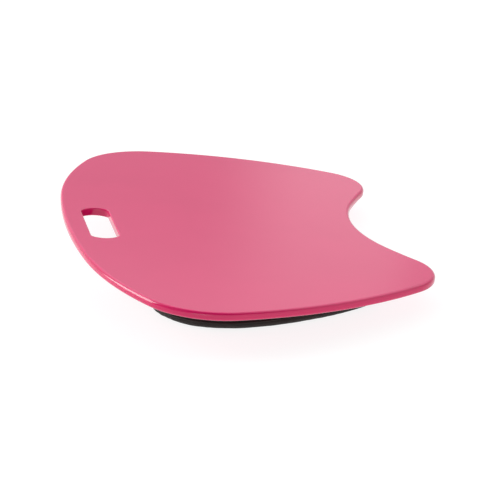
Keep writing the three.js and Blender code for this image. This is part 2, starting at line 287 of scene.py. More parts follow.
def sweep(builder, path, section, u, v, closed=False):
    """A section, in units of the directions u and v at each path point, along a path."""
    path, u, v = (np.asarray(a, float) for a in (path, u, v))
    u = np.broadcast_to(u, path.shape)
    v = np.broadcast_to(v, path.shape)
    section = np.asarray(section, float)
    if section.ndim == 2:
        section = np.broadcast_to(section, (len(path), *section.shape))
    rings = path[:, None] + section[..., :1] * u[:, None] + section[..., 1:] * v[:, None]
    count = section.shape[1]
    faces = ring_faces(len(path), count, closed)
    if not closed:
        faces.append(tuple(range(count)))
        faces.append(tuple(range((len(path) - 1) * count, len(path) * count)))
    builder.add(rings.reshape(-1, 3), faces)


def circle(radius, sides):
    angles = np.arange(sides) * 2 * math.pi / sides
    return np.stack([np.cos(angles), np.sin(angles)], 1) * radius


def tube(builder, path, radius, sides=8, closed=False):
    """A round tube; radius is a number or one for each point of the path."""
    path = np.asarray(path, float)
    if closed:
        tangent = np.roll(path, -1, 0) - np.roll(path, 1, 0)
    else:
        tangent = np.gradient(path, axis=0)
    tangent /= np.linalg.norm(tangent, axis=1)[:, None]
    side = np.zeros_like(path)
    seed = np.array([0, 0, 1.0]) if abs(tangent[0][2]) < 0.9 else np.array([1.0, 0, 0])
    for i, t in enumerate(tangent):
        flat = seed - t * (seed @ t)
        seed = side[i] = flat / np.linalg.norm(flat)
    other = np.cross(tangent, side)
    radii = np.broadcast_to(np.asarray(radius, float), (len(path),))
    section = circle(1, sides)[None] * radii[:, None, None]
    sweep(builder, path, section, side, other, closed)


def stitches(builder, path, normals, pitch, length, thread, closed=False):
    """A row of lock stitches that lie along a path and dip into it at their ends."""
    path, normals = np.asarray(path, float), np.asarray(normals, float)
    if closed:
        path, normals = np.vstack([path, path[:1]]), np.vstack([normals, normals[:1]])
    run = np.concatenate([[0], np.cumsum(np.linalg.norm(np.diff(path, axis=0), axis=1))])
    count = int(run[-1] / pitch)
    ends = np.array([-0.5, -0.3, 0.0, 0.3, 0.5]) * length
    lift = np.array([-0.9, 0.35, 0.6, 0.35, -0.9]) * thread
    for k in range(count):
        at = (k + 0.5) * run[-1] / count + ends
        centre = np.stack([np.interp(at, run, path[:, c]) for c in range(3)], 1)
        out = np.stack([np.interp(at, run, normals[:, c]) for c in range(3)], 1)
        tube(builder, centre + out * lift[:, None], thread, sides=5)


def set_weave(piece, coordinates=None, axes=(0, 2)):
    """Stores where each vertex lies on the flat cloth, in metres, for the woven materials."""
    if coordinates is None:
        coordinates = vertex_array(piece.data)[:, list(axes)]
    layer = piece.data.attributes.new("weave", "FLOAT_VECTOR", "POINT")
    flat = np.zeros((len(piece.data.vertices), 3), np.float32)
    flat[:, :2] = coordinates
    layer.data.foreach_set("vector", flat.ravel())


def vertex_array(mesh, attribute="co"):
    values = np.zeros(len(mesh.vertices) * 3)
    mesh.vertices.foreach_get(attribute, values)
    return values.reshape(-1, 3)


# ---------------- materials


class NodeTree:
    """A node tree with helpers that add nodes and wire them."""

    def __init__(self, tree):
        self.tree = tree

    def node(self, kind, inputs=None, **settings):
        made = self.tree.nodes.new(kind)
        assign(made, **settings)
        for name, value in (inputs or {}).items():
            socket = made.inputs[name]
            if isinstance(value, bpy.types.NodeSocket):
                self.tree.links.new(value, socket)
            else:
                socket.default_value = value
        return made

    def math(self, operation, a, b=0.0):
        return self.node("ShaderNodeMath", {0: a, 1: b}, operation=operation).outputs[0]

    def vector_math(self, operation, a, b, output="Vector"):
        made = self.node("ShaderNodeVectorMath", {0: a, 1: b}, operation=operation)
        return made.outputs[output]


class Shader(NodeTree):
    """A Principled material; its helpers wire colour, roughness and relief."""

    def __init__(self, name, **constants):
        self.material = bpy.data.materials.new(name)
        self.material.use_nodes = True
        super().__init__(self.material.node_tree)
        self.principled = next(n for n in self.tree.nodes if n.type == "BSDF_PRINCIPLED")
        for socket, value in constants.items():
            self.principled.inputs[socket.replace("_", " ")].default_value = value
        self.where = self.node("ShaderNodeTexCoord").outputs["Object"]

    def link(self, source, name):
        self.tree.links.new(source, self.principled.inputs[name])

    def noise(self, vector, scale, detail=3.0, roughness=0.55):
        made = self.node("ShaderNodeTexNoise", {
            "Vector": vector, "Scale": scale, "Detail": detail, "Roughness": roughness,
        })
        return made.outputs["Fac"]

    def ramp(self, factor, low, dark, high, light):
        """The colour dark up to the factor low, and light from the factor high."""
        made = self.node("ShaderNodeValToRGB", {"Fac": factor})
        for element, position, colour in zip(made.color_ramp.elements, (low, high), (dark, light)):
            element.position = position
            element.color = (*colour, 1)
        return made.outputs["Color"]

    def paint(self, factor, low, dark, high, light):
        self.link(self.ramp(factor, low, dark, high, light), "Base Color")

    def shine(self, factor, low, high):
        made = self.node("ShaderNodeMapRange", {"Value": factor, "To Min": low, "To Max": high})
        self.link(made.outputs["Result"], "Roughness")

    def relief(self, height, distance, strength, name="Normal"):
        inputs = {"Height": height, "Distance": distance, "Strength": strength}
        self.link(self.node("ShaderNodeBump", inputs).outputs["Normal"], name)


def lacquer():
    """Sprayed pink lacquer: even colour under a clear gloss coat with a faint orange peel, and
    painted shade on the edges.
    """
    shader = Shader("pink_lacquer", Roughness=0.45, Specular_IOR_Level=0.0, Coat_Weight=1.0,
                    Coat_Roughness=0.1, Coat_IOR=1.5)
    cloud = shader.noise(shader.where, 9, detail=2)
    face = shader.ramp(cloud, 0.35, (0.685, 0.006, 0.131), 0.65, (0.705, 0.007, 0.136))
    # Painted shade: the colour darkens on the rounded edges, standing in for the dimmer light that
    # falls on them
    middle = BOARD_ORIGIN.dot(BOARD_NORMAL) + BOARD_THICKNESS / 2
    height = shader.vector_math("DOT_PRODUCT", shader.where, BOARD_NORMAL, "Value")
    off_middle = shader.math("ABSOLUTE", shader.math("SUBTRACT", height, middle))
    towards_face = shader.node("ShaderNodeMapRange", {
        "Value": off_middle, "From Min": 3.4 * MM, "From Max": 4.2 * MM,
    }).outputs["Result"]
    # Painted shade on the edges, multiplied into the lacquer colour
    painted_edge_shade = shader.ramp(towards_face, 0, (0.84, 0.9, 0.72), 1, (1, 1, 1))
    shader.link(shader.vector_math("MULTIPLY", face, painted_edge_shade), "Base Color")
    peel = shader.noise(shader.where, 520, detail=1)
    waviness = shader.noise(shader.where, 60, detail=1)
    surface = shader.math("ADD", peel, shader.math("MULTIPLY", waviness, 2.0))
    shader.relief(surface, 0.012 * MM, 0.5, "Coat Normal")
    return shader.material


def woven(name, dark, light, pitch, sheen):
    """Plain-woven cloth: warp and weft threads, with slightly irregular yarn and tone, and painted
    shade between the threads.
    """
    shader = Shader(name, Roughness=0.9, Specular_IOR_Level=0.25, Sheen_Weight=sheen,
                    Sheen_Roughness=0.45)
    cloth = shader.node("ShaderNodeAttribute", attribute_name="weave").outputs["Vector"]
    drift = shader.noise(cloth, 180, detail=2)
    shift = shader.node("ShaderNodeCombineXYZ", {
        "X": shader.math("MULTIPLY", drift, pitch * 0.5),
        "Y": shader.math("MULTIPLY", drift, -pitch * 0.5),
    }).outputs[0]
    split = shader.node("ShaderNodeSeparateXYZ", {0: shader.vector_math("ADD", cloth, shift)})
    warp, weft = (
        shader.math("SINE", shader.math("MULTIPLY", split.outputs[axis], math.pi / pitch))
        for axis in "XY"
    )
    over = shader.math("GREATER_THAN", shader.math("MULTIPLY", warp, weft), 0.0)
    warp_round = shader.math("ABSOLUTE", warp)
    weft_round = shader.math("ABSOLUTE", weft)
    difference = shader.math("SUBTRACT", warp_round, weft_round)
    thread = shader.math("ADD", weft_round, shader.math("MULTIPLY", difference, over))
    yarn = shader.noise(cloth, 1 / pitch, detail=3)
    height = shader.math("ADD", thread, shader.math("MULTIPLY", yarn, 0.3))
    thread_shade_and_tone = shader.math("ADD", height, shader.noise(cloth, 25, detail=2))
    # Painted shade: the colour follows the thread height, darker in the gaps between threads and
    # lighter on their tops, mixed with random tone
    shader.paint(shader.math("MULTIPLY", thread_shade_and_tone, 0.5), 0.25, dark, 0.95, light)
    shader.relief(height, 0.16 * MM, 0.8)
    return shader.material


def brushed_loops(name, dark, light):
    """The napped face of a loop tape."""
    shader = Shader(name, Roughness=0.95, Specular_IOR_Level=0.2, Sheen_Weight=0.12,
                    Sheen_Roughness=0.5)
    coarse = shader.noise(shader.where, 900, detail=4, roughness=0.7)
    cells = shader.node("ShaderNodeTexVoronoi", {"Vector": shader.where, "Scale": 1400.0})
    fine = shader.math("MULTIPLY", cells.outputs["Distance"], 0.6)
    shader.paint(coarse, 0.3, dark, 0.75, light)
    shader.relief(shader.math("ADD", coarse, fine), 0.3 * MM, 0.9)
    return shader.material


def moulded(name, dark, light, roughness, grain=700):
    """Extruded or moulded nylon with a fine grain."""
    shader = Shader(name, Specular_IOR_Level=0.45)
    cloud = shader.noise(shader.where, grain, detail=3)
    shader.paint(cloud, 0.3, dark, 0.7, light)
    shader.shine(cloud, roughness - 0.06, roughness + 0.06)
    shader.relief(cloud, 0.03 * MM, 0.5)
    return shader.material


def plated_metal():
    """Satin nickel plate with fine brushing and a few dull patches."""
    shader = Shader("satin_nickel", Metallic=1.0)
    stretched = shader.node("ShaderNodeMapping", {
        "Vector": shader.where, "Scale": (300, 6000, 3000),
    }).outputs[0]
    patch = shader.noise(shader.where, 350, detail=3)
    shader.paint(patch, 0.3, (0.40, 0.40, 0.40), 0.7, (0.52, 0.52, 0.51))
    shader.shine(patch, 0.22, 0.38)
    shader.relief(shader.noise(stretched, 1.0, detail=2), 0.01 * MM, 0.5)
    return shader.material


def bead_skin():
    """Expanded polystyrene beads pressed together, with painted shade in the crevices between
    them.
    """
    shader = Shader("polystyrene_beads", Roughness=0.7, Specular_IOR_Level=0.4,
                    Subsurface_Weight=0.1)
    cells = shader.node("ShaderNodeTexVoronoi", {"Vector": shader.where, "Scale": 450.0})
    distance = cells.outputs["Distance"]
    # Painted shade: light at the middle of each bead, darker towards the crevices between beads
    shader.paint(distance, 0.0, (0.90, 0.89, 0.87), 0.6, (0.62, 0.61, 0.60))
    shader.relief(shader.math("SUBTRACT", 1.0, distance), 0.8 * MM, 1.0)
    return shader.material


MATERIALS = {
    "lacquer": lacquer(),
    "cover": woven("black_polyester", (0.0055, 0.0043, 0.0036), (0.024, 0.018, 0.0155),
                   0.75 * MM, 0.06),
    "thread": woven("black_thread", (0.012, 0.011, 0.011), (0.040, 0.037, 0.035), 0.3 * MM, 0.1),
    "tape": woven("zip_tape_cloth", (0.007, 0.007, 0.007), (0.026, 0.025, 0.025), 0.45 * MM, 0.05),
    "liner": woven("liner_cloth", (0.62, 0.60, 0.56), (0.80, 0.78, 0.74), 0.5 * MM, 0.15),
    "label": woven("label_ribbon", (0.70, 0.69, 0.66), (0.86, 0.85, 0.82), 0.25 * MM, 0.3),
    "hooks": moulded("hook_nylon", (0.010, 0.010, 0.010), (0.030, 0.030, 0.030), 0.42),
    "loops": brushed_loops("loop_pile", (0.006, 0.006, 0.006), (0.030, 0.028, 0.027)),
    "coil": moulded("coil_nylon", (0.012, 0.012, 0.012), (0.030, 0.030, 0.030), 0.35, grain=1500),
    "metal": plated_metal(),
    "beads": bead_skin(),
}

# ---------------- board

BOARD_EDGE_RADIUS = 3.5 * MM
# (radius in mm, sweep in degrees) from the rear centre: rear edge, corner, side, horn, hollow
BOARD_ARCS = [(900, 6.85), (374, 22.6), (86, 67.6), (457, 29), (62.5, 84.4), (500, -5.5)]
SLOT_LENGTH = 107 * MM
SLOT_WIDTH = 30.8 * MM
SLOT_REAR_MARGIN = 21.9 * MM
SLOT_END_BOW = 11 * MM
SLOT_CORNER = 6 * MM
SLOT_EASED_EDGE = 1.2 * MM


def board_outline():
    low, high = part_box("board")
    outline = mirrored(half_outline(0, 0, [(r * MM, a) for r, a in BOARD_ARCS], 3 * MM))
    outline *= (high.x - low.x) / 2 / outline[:, 0].max()
    outline[:, 1] -= (outline[:, 1].max() + outline[:, 1].min()) / 2
    return outline


def slot_outline(centre_y):
    half, wide = SLOT_LENGTH / 2, SLOT_WIDTH / 2
    corner = half - SLOT_END_BOW
    bend = corner + SLOT_CORNER
    sides = [
        line((-corner, -wide), (corner, -wide), 40),
        bezier((corner, -wide), (bend, -wide), (half, -SLOT_CORNER), (half, 0), 18),
        bezier((half, 0), (half, SLOT_CORNER), (bend, wide), (corner, wide), 18),
        line((corner, wide), (-corner, wide), 40),
        bezier((-corner, wide), (-bend, wide), (-half, SLOT_CORNER), (-half, 0), 18),
        bezier((-half, 0), (-half, -SLOT_CORNER), (-bend, -wide), (-corner, -wide), 18),
    ]
    return np.concatenate(sides) + [0, centre_y]


def add_board():
    outline = board_outline()
    slot = slot_outline(outline[:, 1].max() - SLOT_REAR_MARGIN - SLOT_WIDTH / 2)
    builder = Builder()
    slab(builder, outline, BOARD_THICKNESS, BOARD_EDGE_RADIUS, steps=10, hole=slot,
         hole_radius=SLOT_EASED_EDGE)
    piece = builder.piece("lacquered_board", MATERIALS["lacquer"], "tray", "board_lacquer",
                          BOARD_PLACE)
    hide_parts("board")


# ---------------- cushion

CUSHION_REAR_Y = 117 * MM
CUSHION_REAR_STRAIGHT = 137 * MM
# (radius in mm, sweep in degrees) from the end of the straight rear wall
CUSHION_ARCS = [(90, 91), (262, 31), (45, 89)]
CLOTH_THICKNESS = 1.2 * MM
LINER_THICKNESS = 0.6 * MM
FILLING_STEPS = 20
# The farthest that the pressure may move the cloth
FILLING_CAP = 4.5 * MM
LOWER_SEAM_HEIGHT = 11 * MM
SEAM_STEP = 2.5 * MM
SEAM_DEPTH = 0.9 * MM
# How far the gathers beside the upper and the lower seam stand out
GATHER_HEIGHTS = (1.5 * MM, 0.75 * MM)
# Faces whose normal is more upright than this are woven as the top or bottom panel
LEVEL_FACE = 0.62
PIPING_RADIUS = 0.95 * MM
# The opening in the rear wall, a little larger than the zip and its facings
ZIP_HALF_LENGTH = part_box("zip_panel_lower")[1].x + 0.3 * MM
ZIP_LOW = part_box("zip_panel_lower")[0].z - 0.1 * MM
ZIP_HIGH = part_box("zip_panel_upper")[1].z + 0.1 * MM
# Half the width of the rear wall that the zip holds flat
ZIP_WALL_HALF = 123 * MM
STRIPS = [name for name in frame["nodes"] if name.startswith("loop_strip_")]


def smooth(low, high, value):
    t = np.clip((value - low) / (high - low), 0, 1)
    return t * t * (3 - 2 * t)


def nearest_places(points, path):
    """For each point: the index of the nearest place of a path, and the distance to it."""
    index = np.empty(len(points), int)
    distance = np.empty(len(points))
    chunk = 2000
    for start in range(0, len(points), chunk):
        part = points[start:start + chunk, None] - path[None]
        squared = np.sum(part * part, axis=2)
        index[start:start + chunk] = squared.argmin(1)
        distance[start:start + chunk] = np.sqrt(squared.min(1))
    return index, distance


def top_plane(y, above=0.0):
    """Height of the cushion's top under the board, where it is fastened to it."""
    drop = above - STRIP_STACK
    return BOARD_ORIGIN.z + (drop - BOARD_NORMAL.y * (y - BOARD_ORIGIN.y)) / BOARD_NORMAL.z


def height_over_plane(points):
    normal, origin = np.array(BOARD_NORMAL), np.array(BOARD_ORIGIN)
    return (points - origin) @ normal + STRIP_STACK


class CushionForm:
    """The cushion before it is filled: its plan, and its section at each point of the plan."""

    def __init__(self):
        half = half_outline(CUSHION_REAR_Y, CUSHION_REAR_STRAIGHT,
                            [(r * MM, a) for r, a in CUSHION_ARCS], 4 * MM)
        self.plan = mirrored(half)
        self.normals = outward_normals(self.plan)
        steps = np.linalg.norm(np.roll(self.plan, -1, 0) - self.plan, axis=1)
        self.run = np.concatenate([[0], np.cumsum(steps)[:-1]])
        self.length = steps.sum()
        # 0 along the zip, whose wall stays flat, and 1 away from it
        beside = smooth(ZIP_WALL_HALF + 1 * MM, 152 * MM, np.abs(self.plan[:, 0]))
        self.free = np.where(self.plan[:, 1] > 60 * MM, beside, 1.0)
        top = top_plane(self.plan[:, 1])
        self.top_round = 1.6 * MM + 4.4 * MM * self.free
        # The lower rim is fullest along the sides, and nearly sharp along the rear wall
        y = self.plan[:, 1]
        fuller = 0.5 + 0.5 * smooth(-120 * MM, -40 * MM, y) - smooth(45 * MM, 100 * MM, y)
        rim = 7.5 * MM + 5.5 * MM * np.maximum(fuller, 0)
        rim -= 3.5 * MM * smooth(108 * MM, 115 * MM, y)
        self.bottom_round = np.minimum(rim, 0.7 * top)

    def section(self, slack):
        """Rings of points from the bottom to the top; slack draws the free walls in."""
        top = top_plane(self.plan[:, 1]) - slack * 0.3
        steps = 8
        turns = [(1 - math.sin(angle), 1 - math.cos(angle))
                 for angle in (math.pi / 2 * k / steps for k in range(steps + 1))]
        rings = [(self.bottom_round * a, self.bottom_round * b) for a, b in turns]
        rings += [(self.top_round * b, top - self.top_round * a) for a, b in turns]
        return [
            np.column_stack([self.plan - self.normals * (inset + slack * self.free)[:, None], z])
            for inset, z in rings
        ]

    def nearest(self, points):
        """For each point: the nearest place along the plan, and how far inside it lies."""
        index, _ = nearest_places(points[:, :2], self.plan)
        offset = points[:, :2] - self.plan[index]
        normal = self.normals[index]
        inside = -np.sum(offset * normal, axis=1)
        along = offset[:, 0] * normal[:, 1] - offset[:, 1] * normal[:, 0]
        return index, self.run[index] + along, inside

    def at(self, stations):
        """The plan's points and outward directions at distances along it."""
        plan, out = (
            np.column_stack([np.interp(stations, self.run, table[:, c], period=self.length)
                             for c in range(2)])
            for table in (self.plan, self.normals)
        )
        return plan, out / np.linalg.norm(out, axis=1)[:, None]

    def even(self, step):
        """The same at even steps round the plan, with how far along each place lies."""
        count = int(self.length / step)
        stations = np.arange(count) * self.length / count
        return zip(stations, *self.at(stations))

    def base_mesh(self, slack):
        rings = self.section(slack)
        count = len(self.plan)
        base = Builder()
        base.add(np.concatenate(rings), ring_faces(len(rings), count))
        for ring, turn in ((0, 1), (len(rings) - 1, -1)):
            loop = [[Vector((x, y, 0)) for x, y, _ in rings[ring]]]
            for triangle in tessellate_polygon(loop):
                base.faces.append(tuple(ring * count + i for i in triangle[::turn]))
        return base.mesh("cushion_base")


def with_modifiers(piece):
    """The piece's mesh with its modifiers applied, on the same object."""
    evaluated = piece.evaluated_get(bpy.context.evaluated_depsgraph_get())
    mesh = bpy.data.meshes.new_from_object(evaluated)
    piece.modifiers.clear()
    piece.data = mesh
    return mesh


def strip_distance(points):
    """Distance in the board's plane from each point to the nearest hook-and-loop tab."""
    to_board = np.array(TO_BOARD)

    def local(places):
        return places @ to_board[:3, :3].T + to_board[:3, 3]

    flat = local(points)[:, :2]
    nearest = np.full(len(points), 1.0)
    for name in STRIPS:
        corners = local(np.array(node_box(name)))
        centre, half = corners.mean(0)[:2], np.abs(corners[1] - corners[0])[:2] / 2
        beyond = np.maximum(np.abs(flat - centre) - half, 0)
        nearest = np.minimum(nearest, np.linalg.norm(beyond, axis=1))
    return nearest


def noise_field(points, scale, seed):
    return np.array([noise.noise(Vector(p) / scale + Vector((seed, seed * 2.3, seed * 0.7)))
                     for p in points])


def fill_cushion(form):
    """Sews the form closed and fills it by pressure."""
    cover = new_object("cushion_cover", form.base_mesh(slack=0.8 * MM))
    add_modifier(cover, "even_quads", "REMESH", mode="VOXEL", voxel_size=4.2 * MM)
    mesh = with_modifiers(cover)
    start = vertex_array(mesh)
    index, _, inside = form.nearest(start)
    held = (strip_distance(start) < 2 * MM) & (height_over_plane(start) > -6 * MM)
    held |= (form.free[index] < 0.02) & (inside < 3 * MM)
    pins = cover.vertex_groups.new(name="held")
    pins.add([int(i) for i in np.flatnonzero(held)], 1.0, "REPLACE")
    cloth = add_modifier(cover, "filling", "CLOTH")
    assign(cloth.settings, quality=6, mass=0.3, tension_stiffness=12,
           compression_stiffness=12, shear_stiffness=6, bending_stiffness=0.4,
           use_pressure=True, uniform_pressure_force=4.5, shrink_min=-0.02,
           vertex_group_mass="held")
    cloth.settings.effector_weights.gravity = 0
    cloth.collision_settings.use_collision = False
    assign(cloth.point_cache, frame_start=1, frame_end=FILLING_STEPS)
    for step in range(1, FILLING_STEPS + 1):
        bpy.context.scene.frame_set(step)
    mesh = with_modifiers(cover)
    bpy.context.scene.frame_set(1)
    moved = vertex_array(mesh) - start
    far = np.linalg.norm(moved, axis=1)
    # The weight of the desk presses the lower rim smooth
    give = 0.1 + 0.9 * smooth(4 * MM, 16 * MM, start[:, 2])
    capped = FILLING_CAP * np.tanh(far / FILLING_CAP) / np.maximum(far, 1e-9)
    moved *= (give * capped)[:, None]
    mesh.vertices.foreach_set("co", (start + moved).ravel())
    cover.vertex_groups.clear()
    add_modifier(cover, "finer", "SUBSURF", levels=1, render_levels=1)
    with_modifiers(cover).update()
    return cover


def seam_path(form, tree, upper):
    """Points and outward directions where a seam runs on the filled cushion."""
    points, outs = [], []
    for at, plan, out in form.even(SEAM_STEP):
        if upper:
            inside = np.interp(at, form.run, form.top_round, period=form.length) + 2 * MM
            aim = Vector((*(plan - out * inside), top_plane(plan[1]) - inside))
            direction = Vector((*out, 1.0)).normalized()
        else:
            aim = Vector((*(plan - out * 12 * MM), LOWER_SEAM_HEIGHT + 3 * MM))
            direction = Vector((*out, -0.35)).normalized()
        hit = tree.ray_cast(aim + direction * 60 * MM, -direction)[0]
        points.append(hit if hit is not None else aim + direction * 4 * MM)
        outs.append(direction)
    points, outs = np.array(points), np.array(outs)
    for _ in range(2):
        points = (np.roll(points, 1, 0) + 2 * points + np.roll(points, -1, 0)) / 4
    return points, outs


def gathers(along, distance, seed):
    """Small folds that run away from a seam."""
    return np.array([
        noise.noise(Vector((a / (7.5 * MM), seed, d / (26 * MM))))
        + 0.5 * noise.noise(Vector((a / (3.6 * MM), seed + 9, d / (14 * MM))))
        for a, d in zip(along, distance)
    ])


def shape_cushion(form, cover):
    """Draws the seams in, gathers the cloth along them and settles it on floor and tabs."""
    mesh = cover.data
    tree = BVHTree.FromPolygons([v.co for v in mesh.vertices],
                                [p.vertices for p in mesh.polygons])
    upper, lower = seam_path(form, tree, True), seam_path(form, tree, False)
    points, normals = vertex_array(mesh), vertex_array(mesh, "normal")
    index, along, inside = form.nearest(points)
    free = form.free[index]
    lift = np.zeros(len(points))
    for (path, _), height, seed in zip((upper, lower), GATHER_HEIGHTS, (3.1, 7.7)):
        _, distance = nearest_places(points, path)
        fade = np.exp(-distance / (11 * MM)) * smooth(0.0, 5 * MM, distance)
        above = 0.15 + 0.85 * smooth(6 * MM, 14 * MM, points[:, 2])
        folds = gathers(along, distance, seed) * fade * above
        lift += height * folds * np.minimum(1, free + 0.05)
        lift -= SEAM_DEPTH * np.exp(-(distance / (2.4 * MM)) ** 2)
    lumps = noise_field(points, 17 * MM, 5.0) + 0.5 * noise_field(points, 8 * MM, 11.0)
    above = 0.2 + 0.8 * smooth(5 * MM, 15 * MM, points[:, 2])
    lift += 0.35 * MM * lumps * np.minimum(1, free + 0.1) * above
    points += normals * lift[:, None]

    # Under the tabs the cloth is sewn flat; between them it rises, but not as far as the board
    over = height_over_plane(points)
    on_top = (normals @ np.array(BOARD_NORMAL) > 0.5) & (inside > 4 * MM)
    loose = smooth(1 * MM, 12 * MM, strip_distance(points))
    crown = 1.9 * MM * smooth(6 * MM, 40 * MM, inside) * loose
    target = np.clip(over * loose + crown, -4 * MM, 2.2 * MM) - 0.05 * MM
    points[on_top, 2] += (target - over)[on_top] / BOARD_NORMAL.z

    # The rear wall is held flat by the zip
    wall = np.abs(points[:, 0]) < ZIP_WALL_HALF
    wall &= points[:, 1] > CUSHION_REAR_Y - 2.2 * MM
    wall &= (points[:, 2] > ZIP_LOW - 1.7 * MM) & (points[:, 2] < ZIP_HIGH + 0.4 * MM)
    points[wall, 1] = CUSHION_REAR_Y
    points[:, 1] = np.minimum(points[:, 1], CUSHION_REAR_Y)

    # The side under the care label stays just inside it
    low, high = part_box("care_label")
    beside = (points[:, 1] > low.y - 6 * MM) & (points[:, 1] < high.y + 6 * MM)
    beside &= (points[:, 2] > low.z - 3 * MM) & (points[:, 2] < high.z + 4 * MM)
    beside &= points[:, 0] > 0
    push = np.where(beside, np.maximum(0.15 * MM - inside, 0), 0)
    points[:, :2] -= form.normals[index] * push[:, None]

    low_part = points[:, 2] < 9 * MM
    rest = 0.05 * MM + 0.15 * MM * (1 + noise_field(points[low_part], 30 * MM, 2.0))
    points[low_part, 2] = np.maximum(points[low_part, 2], rest)
    mesh.vertices.foreach_set("co", points.ravel())
    mesh.update()
    return upper, lower


def weave_cover(form, mesh):
    """Lays the weave flat on the top and bottom panels and upright round the side."""
    vertex_of = np.zeros(len(mesh.loops), int)
    mesh.loops.foreach_get("vertex_index", vertex_of)
    faces = len(mesh.polygons)
    normals, totals = np.zeros(faces * 3), np.zeros(faces, int)
    mesh.polygons.foreach_get("normal", normals)
    mesh.polygons.foreach_get("loop_total", totals)
    flat = np.repeat(np.abs(normals.reshape(-1, 3)[:, 2]) > LEVEL_FACE, totals)
    points = vertex_array(mesh)
    _, along, _ = form.nearest(points)
    upright = np.column_stack([along, points[:, 2]])
    coordinates = np.zeros((len(vertex_of), 3), np.float32)
    coordinates[:, :2] = np.where(flat[:, None], points[vertex_of, :2], upright[vertex_of])
    layer = mesh.attributes.new("weave", "FLOAT_VECTOR", "CORNER")
    layer.data.foreach_set("vector", coordinates.ravel())


def cut_window(mesh):
    """Cuts the opening that the zip closes out of the rear wall."""
    shell = bmesh.new()
    shell.from_mesh(mesh)

    def wall_faces(margin):
        centres = [(face, face.calc_center_median()) for face in shell.faces]
        return [face for face, centre in centres
                if centre.y > CUSHION_REAR_Y - 1.5 * MM
                and abs(centre.x) < ZIP_HALF_LENGTH + margin
                and ZIP_LOW - margin < centre.z < ZIP_HIGH + margin]

    for place, direction in (
        ((ZIP_HALF_LENGTH, 0, 0), (1, 0, 0)),
        ((-ZIP_HALF_LENGTH, 0, 0), (1, 0, 0)),
        ((0, 0, ZIP_LOW), (0, 0, 1)),
        ((0, 0, ZIP_HIGH), (0, 0, 1)),
    ):
        faces = wall_faces(6 * MM)
        edges = {edge for face in faces for edge in face.edges}
        corners = {corner for face in faces for corner in face.verts}
        bmesh.ops.bisect_plane(shell, geom=[*faces, *edges, *corners], dist=1e-7,
                               plane_co=place, plane_no=direction)
    bmesh.ops.delete(shell, geom=wall_faces(0), context="FACES")
    shell.to_mesh(mesh)
    shell.free()


def thicken(piece, thickness):
    """Gives a skin its cloth thickness, inwards."""
    add_modifier(piece, "cloth", "SOLIDIFY", thickness=thickness, offset=-1)
    mesh = with_modifiers(piece)
    mesh.shade_smooth()
    return mesh


def inner_layer(name, outer, inset, thickness, material):
    """A smoothed copy of the filled cushion inside it: a bag, or the fill at no thickness."""
    mesh = outer.copy()
    mesh.name = name
    mesh.update()
    points = vertex_array(mesh) - vertex_array(mesh, "normal") * inset
    ends = np.zeros(len(mesh.edges) * 2, int)
    mesh.edges.foreach_get("vertices", ends)
    a, b = ends.reshape(-1, 2).T
    count = np.bincount(ends, minlength=len(points))[:, None]
    for _ in range(12):
        total = np.zeros_like(points)
        np.add.at(total, a, points[b])
        np.add.at(total, b, points[a])
        points = (points + total / count) / 2
    mesh.vertices.foreach_set("co", points.ravel())
    mesh.update()
    piece = finished_piece(name, mesh, material, "cushion")
    if thickness:
        thicken(piece, thickness)
    set_weave(piece, axes=(0, 1))
    return piece


def add_cushion():
    form = CushionForm()
    cover = fill_cushion(form)
    upper, lower = shape_cushion(form, cover)
    filled = cover.data.copy()
    cut_window(cover.data)
    mesh = thicken(cover, CLOTH_THICKNESS)
    mesh.materials.clear()
    mesh.materials.append(MATERIALS["cover"])
    weave_cover(form, mesh)
    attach(cover, "cushion")
    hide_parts("cover_top_panel", "cover_side_band", "cover_bottom_panel")

    liner = inner_layer("liner_bag", filled, 3.3 * MM, LINER_THICKNESS, MATERIALS["liner"])
    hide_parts("liner_upper", "liner_lower")
    beads = inner_layer("bead_filling", filled, 4.5 * MM, 0, MATERIALS["beads"])
    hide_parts("bead_fill")

    for name, (path, outs) in (("upper", upper), ("lower", lower)):
        piping = Builder()
        sides = 10
        tube(piping, path + outs * 0.15 * MM, PIPING_RADIUS, sides, closed=True)
        roll = piping.piece(f"piping_{name}", MATERIALS["cover"], "cushion", "cushion_fabric")
        along = np.repeat(np.arange(len(path)), sides) * SEAM_STEP
        around = np.tile(np.arange(sides), len(path)) * PIPING_RADIUS * 0.63
        set_weave(roll, np.column_stack([along, around]))
    return form, cover


# ---------------- rows of stitching


def stitch_runs(form, tree, aim_at, toward, skip):
    """Runs of points and normals where rays from outside meet the cushion along its plan."""
    runs = [[]]
    for _, plan, out in form.even(2 * MM):
        point = None
        if not skip(plan):
            direction = toward(out)
            outside = aim_at(plan, out) + direction * 50 * MM
            point, normal, _, _ = tree.ray_cast(outside, -direction)
        if point is not None:
            runs[-1].append((point, normal))
        elif runs[-1]:
            runs.append([])
    return [map(np.array, zip(*run)) for run in runs if len(run) > 3]


def beside_zip(plan):
    return plan[1] > 100 * MM and abs(plan[0]) < ZIP_HALF_LENGTH + 2 * MM


def nowhere(plan):
    return False


def add_stitching(form, cover):
    tree = BVHTree.FromObject(cover, bpy.context.evaluated_depsgraph_get())
    rows = Builder()

    def inward(by, z):
        return lambda plan, out: Vector((*(plan - out * by), z(plan)))

    def level(out):
        return Vector((out[0], out[1], 0))

    placed = [
        (inward(9 * MM, lambda p: top_plane(p[1])), lambda out: Vector((0, 0, 1)), nowhere),
        (inward(20 * MM, lambda p: LOWER_SEAM_HEIGHT + 2.6 * MM), level, beside_zip),
        (inward(20 * MM, lambda p: top_plane(p[1]) - 5.4 * MM), level, beside_zip),
    ]
    for aim_at, toward, skip in placed:
        for path, normals in stitch_runs(form, tree, aim_at, toward, skip):
            stitches(rows, path, normals, 3.4 * MM, 2.7 * MM, 0.24 * MM)
    piece = rows.piece("cover_stitching", MATERIALS["thread"], "cushion", "cushion_fabric")
    set_weave(piece, axes=(0, 1))


# ---------------- zip


